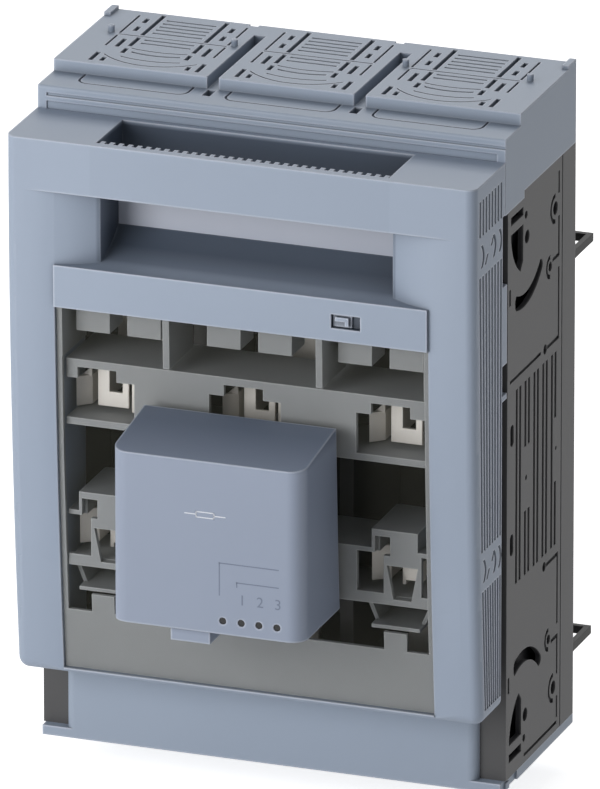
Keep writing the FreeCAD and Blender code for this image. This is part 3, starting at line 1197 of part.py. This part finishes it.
def unit_terminals():
    """The terminal block on the board, over the tab where the leads come in."""
    board = UNIT_BOARD_FRONT + UNIT_BOARD_THICK
    half = LEAD_PITCH * (LEAD_COUNT + 0.15) / 2
    middle = (UNIT_TAB[0] + UNIT_TAB[1]) / 2
    low = UNIT_BOTTOM + UNIT_BLOCK_RISE
    block = box((middle - half, middle + half), (board, board + UNIT_BLOCK), (low, low + UNIT_BLOCK))
    places = [middle + LEAD_PITCH * (k - (LEAD_COUNT - 1) / 2) for k in range(LEAD_COUNT)]
    y = board + UNIT_BLOCK / 2
    holes = [rod(vector(x, y, low - 1), vector(x, y, low + UNIT_BLOCK * 2 / 3), LEAD_HOLE_R) for x in places]
    return block.cut(holes)


def export(name, shape):
    """Moves a finished piece to the fixing holes' frame and writes it."""
    placed = shape.copy()
    placed.translate(vector(0, -BASE_DEPTH, -CENTRE_Z))
    placed.exportStep("parts/" + name + ".step")


def main():
    os.makedirs("parts", exist_ok=True)
    pieces = {
        "base_housing": base_housing(),
        "rear_tray": rear_tray(),
        "housing_screws": housing_screws(),
        "top_hood": top_hood(),
        "bottom_hood": bottom_hood(),
        "rear_bracket_lower": rear_bracket(BRACKET_LEVELS[0]),
        "rear_bracket_upper": rear_bracket(BRACKET_LEVELS[1]),
        "upper_contact_cover": upper_contact_cover(),
        "lower_contact_cover": lower_contact_cover(),
        "terminal_bolts": terminal_bolts(),
        "terminal_nuts": terminal_nuts(),
        "swing_cover": swing_cover(),
        "hinge_pin_right": hinge_pin(),
        "hinge_pin_left": mirrored(hinge_pin()),
        "label_strip": label_strip(),
        "lock_slide": lock_slide(),
        "window": window(),
        "cover_inner_frame": cover_inner_frame(),
        "unit_housing": unit_housing(),
        "unit_back": unit_back(),
        "unit_board": unit_board(),
        "unit_lamps": unit_lamps(),
        "unit_terminals": unit_terminals(),
    }
    for number, x in enumerate(pole_centres(), start=1):
        pieces[f"upper_contact_{number}"] = upper_contact(x)
        pieces[f"lower_contact_{number}"] = lower_contact(x)
        pieces[f"arc_plates_{number}"] = arc_plates(x)
    for number, x in enumerate(grip_centres(), start=1):
        pieces[f"fuse_grip_{number}"] = fuse_grip(x)
    for name, shape in pieces.items():
        export(name, shape)


main()
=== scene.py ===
"""Looks of the three-pole fuse switch disconnector: finishes, fine details, studio light and camera.

Lengths are in metres in the frame of the solids: +x right, +y back into the mounting plate, +z up.
Names and arguments that end in mm hold millimetres.
"""
import bpy
import bmesh
import math
from mathutils import Matrix, Vector


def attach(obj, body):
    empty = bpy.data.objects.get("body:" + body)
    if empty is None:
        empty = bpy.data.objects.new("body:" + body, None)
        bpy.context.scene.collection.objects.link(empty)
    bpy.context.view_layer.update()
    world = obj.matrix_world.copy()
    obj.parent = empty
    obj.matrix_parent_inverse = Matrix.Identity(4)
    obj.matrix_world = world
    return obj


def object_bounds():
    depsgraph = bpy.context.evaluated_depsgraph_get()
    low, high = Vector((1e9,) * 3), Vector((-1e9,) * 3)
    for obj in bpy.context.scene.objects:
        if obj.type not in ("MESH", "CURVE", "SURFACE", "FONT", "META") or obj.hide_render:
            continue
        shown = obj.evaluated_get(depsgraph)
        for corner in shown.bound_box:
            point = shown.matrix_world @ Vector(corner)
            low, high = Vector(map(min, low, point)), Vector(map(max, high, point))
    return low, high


MM = 0.001
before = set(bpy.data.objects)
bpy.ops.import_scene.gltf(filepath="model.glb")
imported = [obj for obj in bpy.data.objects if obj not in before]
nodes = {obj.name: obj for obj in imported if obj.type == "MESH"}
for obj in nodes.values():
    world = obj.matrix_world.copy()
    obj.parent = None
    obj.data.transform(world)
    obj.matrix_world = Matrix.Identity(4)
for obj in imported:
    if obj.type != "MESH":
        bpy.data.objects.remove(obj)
cad_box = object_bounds()

# View of the photograph, from so far away that it is nearly parallel
VIEW_TURN = math.radians(20)
VIEW_LIFT = math.radians(20)
VIEW_POINT = Vector((0.0, -53.9, 21.1)) * MM
VIEW_DISTANCE = 7.5
VIEW_END = 50.0
SEEN_HEIGHT = 335.9 * MM
SENSOR_MM = 36.0

# Lights as name, place, size and power, all turned to one point, and the even light around them
KEY_LIGHT = ("key", (-0.62, -1.2, 0.32), (0.8, 0.8), 11.3)
BACK_LIGHT = ("back", (-0.3, 1.2, 1.4), (1.0, 1.0), 11.0)
LIT_POINT = Vector((0, -0.05, 0.02))
SURROUND = 0.27
WHITE = (1, 1, 1, 1)

# Floor: half its side, its distance under the device, its colour, and what it adds to look white
FLOOR_HALF = 1.5
FLOOR_DROP = 16.0 * MM
FLOOR_COLOUR = (0.9, 0.9, 0.9, 1)
FLOOR_ROUGHNESS = 0.9
FLOOR_LIFT = 0.74

# Painted shade on the housing: dark inward of its outer side faces and behind its front, the rear tray's back face
# too
SIDE_SKIN = 104.2 * MM
HOUSING_FRONT = -86.3 * MM
MASK_EDGE = 0.1 * MM

# Painted shade on the cover: dark at the back of the handle's recess and slot, where the handle bar shades it
COVER_FRONT = -130.0 * MM
COVER_TOP = 149.9 * MM
COVER_TOP_EDGE = 2.0 * MM
RECESS_DARK = -107.0 * MM
RECESS_SIDE = 66.5 * MM
RECESS_FLOOR = 94.6 * MM
RECESS_EDGE = 1.0 * MM

# The lock's slot: centre and half size as x and z, and the depth where its painted shade starts
LOCK_CENTRE = (47.5 * MM, 84.55 * MM)
LOCK_HALF = (6.8 * MM, 3.4 * MM)
LOCK_DARK = -127.6 * MM
LOCK_EDGE = 0.5 * MM

# The slope on top of the unit, which gets painted shade
SLOPE_START = 28.5 * MM
SLOPE_EDGE = 6.0 * MM

# Moulded plastics: size of their faint clouds, painted shade in corners and slots, painted highlight on edges, and
# samples for edges
CLOUD_MM = 60
CREASE_SHADE_COLOUR = "#14181C"
CREASE_SHADE_SHARE = 0.75
EDGE_HIGHLIGHT_SHARE = 1.9
GRAIN_STRENGTH = 0.35
PLASTIC_IOR = 1.5
EDGE_HIGHLIGHT_COLOUR = "#C3CAD8"
BEVEL_SAMPLES = 6
EDGE_SAMPLES = 8

# Scale of the streaks in plated metal, which run along z
STREAK_SCALE = (1.0, 1.0, 0.06)

# Print on the unit's front, as lines between (x, z) places in mm, and digits as number and x
PRINT_FRONT = -168.03 * MM
PRINT_THICK = 0.02 * MM
SYMBOL_WIDTH_MM = 0.45
SYMBOL_LINES = (((-10.0, 6.0), (-5.0, 6.0)), ((3.0, 6.0), (8.0, 6.0)), ((-5.0, 7.2), (3.0, 7.2)),
                ((-5.0, 4.8), (3.0, 4.8)), ((-5.0, 4.8), (-5.0, 7.2)), ((3.0, 4.8), (3.0, 7.2)))
LAMP_WIDTH_MM = 0.5
LAMP_LINES = (((5.4, -14.6), (31.8, -14.6)), ((5.4, -14.6), (5.4, -29.0)), ((13.2, -22.6), (31.8, -22.6)),
              ((13.2, -22.6), (13.2, -24.5)))
DIGITS = ((1, 14.0), (2, 22.0), (3, 30.0))
DIGIT_FOOT_MM = -32.4
DIGIT_SIZE_MM = 6.6


def linear(hex_colour):
    """An sRGB hex colour as linear values with full alpha."""
    values = [int(hex_colour[k:k + 2], 16) / 255 for k in (1, 3, 5)]
    return tuple(v / 12.92 if v <= 0.04045 else ((v + 0.055) / 1.055) ** 2.4 for v in values) + (1.0,)


def add_node(tree, kind, settings=None, inputs=None):
    """Adds a node, sets its properties and sets or links its inputs by name or number."""
    node = tree.nodes.new(kind)
    for name, value in (settings or {}).items():
        setattr(node, name, value)
    for name, value in (inputs or {}).items():
        if isinstance(value, bpy.types.NodeSocket):
            tree.links.new(value, node.inputs[name])
        else:
            node.inputs[name].default_value = value
    return node


def calculate(tree, operation, *values, clamp=False):
    """The result of a sum on sockets or plain values, kept from 0 to 1 with clamp."""
    settings = {"operation": operation, "use_clamp": clamp}
    return add_node(tree, "ShaderNodeMath", settings, dict(enumerate(values))).outputs[0]


def between(tree, share, low, high):
    """A value that goes from low to high as the share goes from 0 to 1."""
    return add_node(tree, "ShaderNodeMapRange", inputs={"Value": share, "To Min": low, "To Max": high}).outputs[0]


def ramp_share(tree, value, start, end):
    """0 before the first value and 1 from the second on."""
    limits = {"Value": value, "From Min": start, "From Max": end}
    return add_node(tree, "ShaderNodeMapRange", inputs=limits).outputs[0]


def mix_colour(tree, share, start, end):
    """A colour between two others, each a socket or a linear colour."""
    return add_node(tree, "ShaderNodeMix", {"data_type": "RGBA"}, {0: share, 6: start, 7: end}).outputs[2]


def new_material(name):
    """An empty node material with its output, as the material, its tree and the shader to fill in."""
    material = bpy.data.materials.new(name)
    material.use_nodes = True
    tree = material.node_tree
    tree.nodes.clear()
    shader = add_node(tree, "ShaderNodeBsdfPrincipled")
    add_node(tree, "ShaderNodeOutputMaterial", inputs={"Surface": shader.outputs[0]})
    return material, tree, shader


def own_place(tree):
    """The place on the piece, which a finish stays fixed to when the piece moves."""
    return add_node(tree, "ShaderNodeTexCoord").outputs["Object"]


def grain_height(tree, place, size_mm, detail=3.0):
    """Fine random height with the given grain size."""
    settings = {"Vector": place, "Scale": 1 / (size_mm * MM), "Detail": detail}
    return add_node(tree, "ShaderNodeTexNoise", inputs=settings).outputs["Fac"]


def relief(tree, height, strength, depth_mm, edge_mm):
    """Normals of a fine relief, with every edge rounded by a small radius, as a mould's or a sheet's edges are."""
    soft = add_node(tree, "ShaderNodeBevel", {"samples": BEVEL_SAMPLES}, {"Radius": edge_mm * MM}).outputs[0]
    return add_node(tree, "ShaderNodeBump", inputs={"Height": height, "Strength": strength,
                                                    "Distance": depth_mm * MM, "Normal": soft}).outputs[0]


def fill_in(tree, shader, **inputs):
    """Sets or links the shader's inputs, with _ for a space in their names."""
    for name, value in inputs.items():
        socket = shader.inputs[name.replace("_", " ")]
        if isinstance(value, bpy.types.NodeSocket):
            tree.links.new(value, socket)
        else:
            socket.default_value = value


def edge_and_crease(tree, edge_mm, crease_mm):
    """How near a point lies to an outer edge, and how deep in a corner or slot, both from 0 to 1."""
    shares = []
    for inside, reach_mm in ((True, edge_mm), (False, crease_mm)):
        settings = {"inside": inside, "only_local": True, "samples": EDGE_SAMPLES}
        open_share = add_node(tree, "ShaderNodeAmbientOcclusion", settings, {"Distance": reach_mm * MM}).outputs["AO"]
        shares.append(calculate(tree, "SUBTRACT", 1.0, open_share, clamp=True))
    return shares


def axes(tree, place):
    """The place's x without its sign, its y and its z."""
    parts = add_node(tree, "ShaderNodeSeparateXYZ", inputs={0: place})
    return calculate(tree, "ABSOLUTE", parts.outputs["X"]), parts.outputs["Y"], parts.outputs["Z"]


def product(tree, first, second):
    return calculate(tree, "MULTIPLY", first, second)


def behind_walls(tree, place):
    """Where the housing gets painted shade: 1 in the grooves of its sides, inside its walls and behind its front, 0
    on its outer faces.
    """
    across, back, _ = axes(tree, place)
    inside = ramp_share(tree, across, SIDE_SKIN + MASK_EDGE, SIDE_SKIN)
    return product(tree, inside, ramp_share(tree, back, HOUSING_FRONT, HOUSING_FRONT + MASK_EDGE))


def in_recess(tree, place):
    """Painted shade: 0 on the cover's front, rising to 1 towards the back of the handle's recess and slot and of the
    lock's.
    """
    across, back, height = axes(tree, place)
    inside = ramp_share(tree, across, RECESS_SIDE + RECESS_EDGE, RECESS_SIDE)
    above = ramp_share(tree, height, RECESS_FLOOR, RECESS_FLOOR + RECESS_EDGE)
    below = ramp_share(tree, height, COVER_TOP, COVER_TOP - COVER_TOP_EDGE)
    deep = ramp_share(tree, back, COVER_FRONT, RECESS_DARK)
    recess = product(tree, product(tree, inside, deep), product(tree, above, below))
    return calculate(tree, "MAXIMUM", recess, in_lock(tree, place))


def in_lock(tree, place):
    """1 deep in the lock's slot, where the cover and the lock slide get painted shade."""
    parts = add_node(tree, "ShaderNodeSeparateXYZ", inputs={0: place})
    shares = []
    for axis, centre, half in zip("XZ", LOCK_CENTRE, LOCK_HALF):
        apart = calculate(tree, "ABSOLUTE", calculate(tree, "SUBTRACT", parts.outputs[axis], centre))
        shares.append(ramp_share(tree, apart, half, half - MASK_EDGE))
    deep = ramp_share(tree, parts.outputs["Y"], LOCK_DARK, LOCK_DARK + LOCK_EDGE)
    return product(tree, product(tree, shares[0], shares[1]), deep)


def on_slope(tree, place):
    """Painted shade: 0 on the unit's front, 1 on the slope above it."""
    _, _, height = axes(tree, place)
    return ramp_share(tree, height, SLOPE_START, SLOPE_START + SLOPE_EDGE)


def moulded_plastic(name, colour, lighter, edge, grain_mm=0.45, grain_depth_mm=0.012, roughness=0.5, edge_mm=0.5,
                    crease_mm=3.0, shade=None):
    """Injection moulded plastic from a spark-eroded mould: even and finely grained. Its colour holds a painted
    highlight on outer edges and painted shade in corners and slots. With shade, a painted shade colour for the places
    that a function marks."""
    material, tree, shader = new_material(name)
    place = own_place(tree)
    tint = mix_colour(tree, grain_height(tree, place, CLOUD_MM, detail=2.0), linear(colour), linear(lighter))
    if shade:
        where, dark = shade
        tint = mix_colour(tree, where(tree, place), tint, linear(dark))
    # Painted highlight on outer edges and painted shade in corners and slots, both mixed into the colour
    edge_highlight, crease_shade = edge_and_crease(tree, edge_mm, crease_mm)
    for share, most, end in ((edge_highlight, EDGE_HIGHLIGHT_SHARE, edge), (crease_shade, CREASE_SHADE_SHARE, CREASE_SHADE_COLOUR)):
        tint = mix_colour(tree, calculate(tree, "MULTIPLY", share, most, clamp=True), tint, linear(end))
    grain = grain_height(tree, place, grain_mm)
    fill_in(tree, shader, Base_Color=tint, Roughness=between(tree, grain, roughness - 0.04, roughness + 0.06),
            Normal=relief(tree, grain, GRAIN_STRENGTH, grain_depth_mm, edge_mm), IOR=PLASTIC_IOR)
    return material


def clear_pane(name):
    """Clear, lightly smoked polycarbonate: lets most light through, with a thin warm grey veil and a weak gloss."""
    material, tree, shader = new_material(name)
    haze = grain_height(tree, own_place(tree), size_mm=25.0, detail=2.0)
    fill_in(tree, shader, Base_Color=linear("#4A4A40"), Roughness=between(tree, haze, 0.08, 0.16), Alpha=0.1,
            IOR=1.58, Specular_IOR_Level=0.15)
    return material


def plated_metal(name, colour, darker, roughness, streak_mm, metallic=1.0):
    """Plated sheet metal: bright, with faint streaks along z from rolling and drawing. A matt plating scatters part
    of the light, so it isn't all mirror."""
    material, tree, shader = new_material(name)
    stretched = add_node(tree, "ShaderNodeMapping", inputs={"Vector": own_place(tree), "Scale": STREAK_SCALE})
    streaks = grain_height(tree, stretched.outputs[0], streak_mm, detail=4.0)
    fill_in(tree, shader, Base_Color=mix_colour(tree, streaks, linear(darker), linear(colour)),
            Roughness=between(tree, streaks, roughness - 0.08, roughness + 0.08),
            Normal=relief(tree, streaks, strength=0.3, depth_mm=0.02, edge_mm=0.25), Metallic=metallic)
    return material


def coated(name, colour, roughness):
    """A thin paint or lacquer coat with a faint orange-peel surface."""
    material, tree, shader = new_material(name)
    peel = grain_height(tree, own_place(tree), size_mm=0.8, detail=2.0)
    tint = add_node(tree, "ShaderNodeHueSaturation", inputs={"Color": linear(colour),
                                                             "Value": between(tree, peel, 0.9, 1.1)})
    fill_in(tree, shader, Base_Color=tint.outputs[0], Roughness=roughness,
            Normal=relief(tree, peel, strength=0.25, depth_mm=0.02, edge_mm=0.3))
    return material


def flat_ink(name, colour):
    """Matt screen print: a thin even ink film with slightly ragged gloss."""
    material, tree, shader = new_material(name)
    speck = grain_height(tree, own_place(tree), size_mm=0.3, detail=2.0)
    share = calculate(tree, "MULTIPLY", speck, 0.3, clamp=True)
    fill_in(tree, shader, Base_Color=mix_colour(tree, share, linear(colour), linear("#8A93A4")),
            Roughness=between(tree, speck, 0.5, 0.7))
    return material


def dress(names, material):
    """Gives CAD nodes a finish in every material slot."""
    for name in names:
        mesh = nodes[name].data
        if not mesh.materials:
            mesh.materials.append(material)
        for k in range(len(mesh.materials)):
            mesh.materials[k] = material


def poles(stem):
    return [f"{stem}_{number}" for number in (1, 2, 3)]


def finish_nodes():
    """Gives every solid of the device its finish."""
    # Each plastic's third colour is its painted edge highlight
    dress(["swing_cover", "lock_slide"],
          # Painted shade in the handle's recess and the lock's slot
          moulded_plastic("cover_polyamide", "#94A0B2", "#98A4B6", EDGE_HIGHLIGHT_COLOUR, edge_mm=0.9, crease_mm=26.0,
                          shade=(in_recess, "#404B5B")))
    dress(["top_hood", "bottom_hood"],
          moulded_plastic("hood_polyamide", "#94A0B1", "#98A4B5", EDGE_HIGHLIGHT_COLOUR, edge_mm=0.9, crease_mm=5.0))
    # Painted shade darkens the housing's grooves and all inward of its walls and behind its front
    dress(["base_housing", "rear_tray"],
          moulded_plastic("housing_polyester", "#3F3F41", "#444445", "#5C5C5E", grain_mm=0.7, grain_depth_mm=0.02,
                          roughness=0.55, edge_mm=0.4, crease_mm=2.0, shade=(behind_walls, "#16161A")))
    dress(["upper_contact_cover", "lower_contact_cover", "cover_inner_frame", "unit_terminals"]
          + poles("fuse_grip"),
          moulded_plastic("inner_polyamide", "#9B9EA0", "#A1A4A6", "#C8CACC", crease_mm=6.0))
    # Painted shade on the slope on top of the unit
    dress(["unit_housing", "unit_back"],
          moulded_plastic("unit_polycarbonate", "#8B95A8", "#8F99AC", "#BEC5D3", grain_mm=0.4, grain_depth_mm=0.01,
                          roughness=0.45, edge_mm=0.9, shade=(on_slope, "#6C778A")))
    dress(["window"], clear_pane("window_polycarbonate"))
    dress(["label_strip"],
          moulded_plastic("label_polystyrene", "#A4A9B6", "#A9AEBB", "#C8CBD3", grain_mm=1.2, grain_depth_mm=0.01,
                          roughness=0.35, edge_mm=0.15))
    dress(poles("upper_contact") + poles("lower_contact"),
          plated_metal("silvered_copper", "#F6F2EC", "#E6E1D9", roughness=0.45, streak_mm=0.5, metallic=0.3))
    dress(["housing_screws", "terminal_bolts", "terminal_nuts", "hinge_pin_left", "hinge_pin_right"]
          + poles("arc_plates"),
          plated_metal("zinc_plated_steel", "#C9CBCD", "#AEB1B4", roughness=0.36, streak_mm=0.4))
    dress(["rear_bracket_lower", "rear_bracket_upper"], coated("black_coated_steel", "#232323", 0.65))
    dress(["unit_board"], coated("solder_mask", "#1F5A33", 0.35))
    dress(["unit_lamps"], coated("lamp_acrylic", "#0A0A0C", 0.12))


def add_piece(name, form, body, material):
    """Makes a bmesh into a piece that moves with a body."""
    mesh = bpy.data.meshes.new(name)
    form.to_mesh(mesh)
    form.free()
    mesh.materials.append(material)
    piece = bpy.data.objects.new(name, mesh)
    bpy.context.collection.objects.link(piece)
    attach(piece, body)


def stroke(form, start, end, width):
    """A flat printed line, across or upright, between two (x, z) places in mm on the unit's front."""
    middle = [(start[k] + end[k]) / 2 * MM for k in (0, 1)]
    size = [(abs(end[k] - start[k]) + width) * MM for k in (0, 1)]
    place = Matrix.Translation((middle[0], PRINT_FRONT + PRINT_THICK / 2, middle[1]))
    bmesh.ops.create_cube(form, size=1.0, matrix=place @ Matrix.Diagonal((size[0], PRINT_THICK, size[1], 1.0)))


def digit(form, number, x_mm):
    """One printed digit, taken from the built-in plain font."""
    curve = bpy.data.curves.new("digit", "FONT")
    curve.body = str(number)
    curve.size = DIGIT_SIZE_MM
    curve.extrude = PRINT_THICK / MM / 2
    text = bpy.data.objects.new("digit", curve)
    shape = bpy.data.meshes.new_from_object(text)
    shape.transform(Matrix.Translation((x_mm * MM, PRINT_FRONT + PRINT_THICK / 2, DIGIT_FOOT_MM * MM))
                    @ Matrix.Rotation(math.radians(90), 4, "X") @ Matrix.Scale(MM, 4))
    form.from_mesh(shape)
    bpy.data.objects.remove(text)
    bpy.data.curves.remove(curve)
    bpy.data.meshes.remove(shape)


def unit_print():
    """The unit's print: a fuse symbol, and lines that tie three numbers to their lamps."""
    pale = bmesh.new()
    for start, end in SYMBOL_LINES:
        stroke(pale, start, end, SYMBOL_WIDTH_MM)
    add_piece("unit_symbol_print", pale, "cover", flat_ink("white_ink", "#E4E7EC"))
    dark = bmesh.new()
    for start, end in LAMP_LINES:
        stroke(dark, start, end, LAMP_WIDTH_MM)
    for number, x_mm in DIGITS:
        digit(dark, number, x_mm)
    add_piece("unit_number_print", dark, "cover", flat_ink("grey_ink", "#667084"))


def facing(place, back):
    """The matrix of a camera or lamp at a place, with the direction behind it."""
    return Matrix.Translation(place) @ back.to_track_quat("Z", "Y").to_matrix().to_4x4()


def set_camera():
    back = Vector((math.sin(VIEW_TURN) * math.cos(VIEW_LIFT), -math.cos(VIEW_TURN) * math.cos(VIEW_LIFT),
                   math.sin(VIEW_LIFT)))
    data = bpy.data.cameras.new("camera")
    data.sensor_width = SENSOR_MM
    data.lens = SENSOR_MM * VIEW_DISTANCE / SEEN_HEIGHT
    data.clip_end = VIEW_END
    camera = bpy.data.objects.new("camera", data)
    camera.matrix_world = facing(VIEW_POINT + back * VIEW_DISTANCE, back)
    bpy.context.collection.objects.link(camera)
    bpy.context.scene.camera = camera


def soft_light(name, place, size, power):
    """A square lamp turned to the device."""
    data = bpy.data.lights.new(name, "AREA")
    data.shape = "RECTANGLE"
    data.size, data.size_y = size
    data.energy = power
    light = bpy.data.objects.new(name, data)
    light.matrix_world = facing(Vector(place), Vector(place) - LIT_POINT)
    bpy.context.collection.objects.link(light)


def seen_ray(tree, hidden, seen):
    """One value for light that falls on things and another for what the camera, gloss and glass see."""
    rays = add_node(tree, "ShaderNodeLightPath")
    direct = calculate(tree, "MAXIMUM", rays.outputs["Is Camera Ray"], rays.outputs["Is Glossy Ray"])
    either = calculate(tree, "MAXIMUM", direct, rays.outputs["Is Transmission Ray"])
    return between(tree, either, hidden, seen)


def set_world():
    """Plain white to the camera and in reflections, and a dimmer even light on the object."""
    world = bpy.data.worlds.new("studio")
    world.use_nodes = True
    tree = world.node_tree
    tree.nodes.clear()
    light = add_node(tree, "ShaderNodeBackground", inputs={"Color": WHITE, "Strength": seen_ray(tree, SURROUND, 1.0)})
    add_node(tree, "ShaderNodeOutputWorld", inputs={"Surface": light.outputs[0]})
    bpy.context.scene.world = world


def add_floor():
    """A pale floor under the device, white to the camera but for the device's soft shadow."""
    mesh = bpy.data.meshes.new("floor")
    form = bmesh.new()
    bmesh.ops.create_grid(form, x_segments=1, y_segments=1, size=FLOOR_HALF)
    bmesh.ops.translate(form, verts=form.verts, vec=(0, 0, cad_box[0][2] - FLOOR_DROP))
    form.to_mesh(mesh)
    form.free()
    floor = bpy.data.objects.new("floor", mesh)
    bpy.context.collection.objects.link(floor)
    material, tree, shader = new_material("pale_floor")
    fill_in(tree, shader, Base_Color=FLOOR_COLOUR, Roughness=FLOOR_ROUGHNESS, Specular_IOR_Level=0.0,
            Emission_Color=WHITE, Emission_Strength=seen_ray(tree, 0.0, FLOOR_LIFT))
    mesh.materials.append(material)


finish_nodes()
unit_print()
set_camera()
set_world()
soft_light(*KEY_LIGHT)
soft_light(*BACK_LIGHT)
add_floor()
bpy.context.scene.view_settings.view_transform = "Standard"
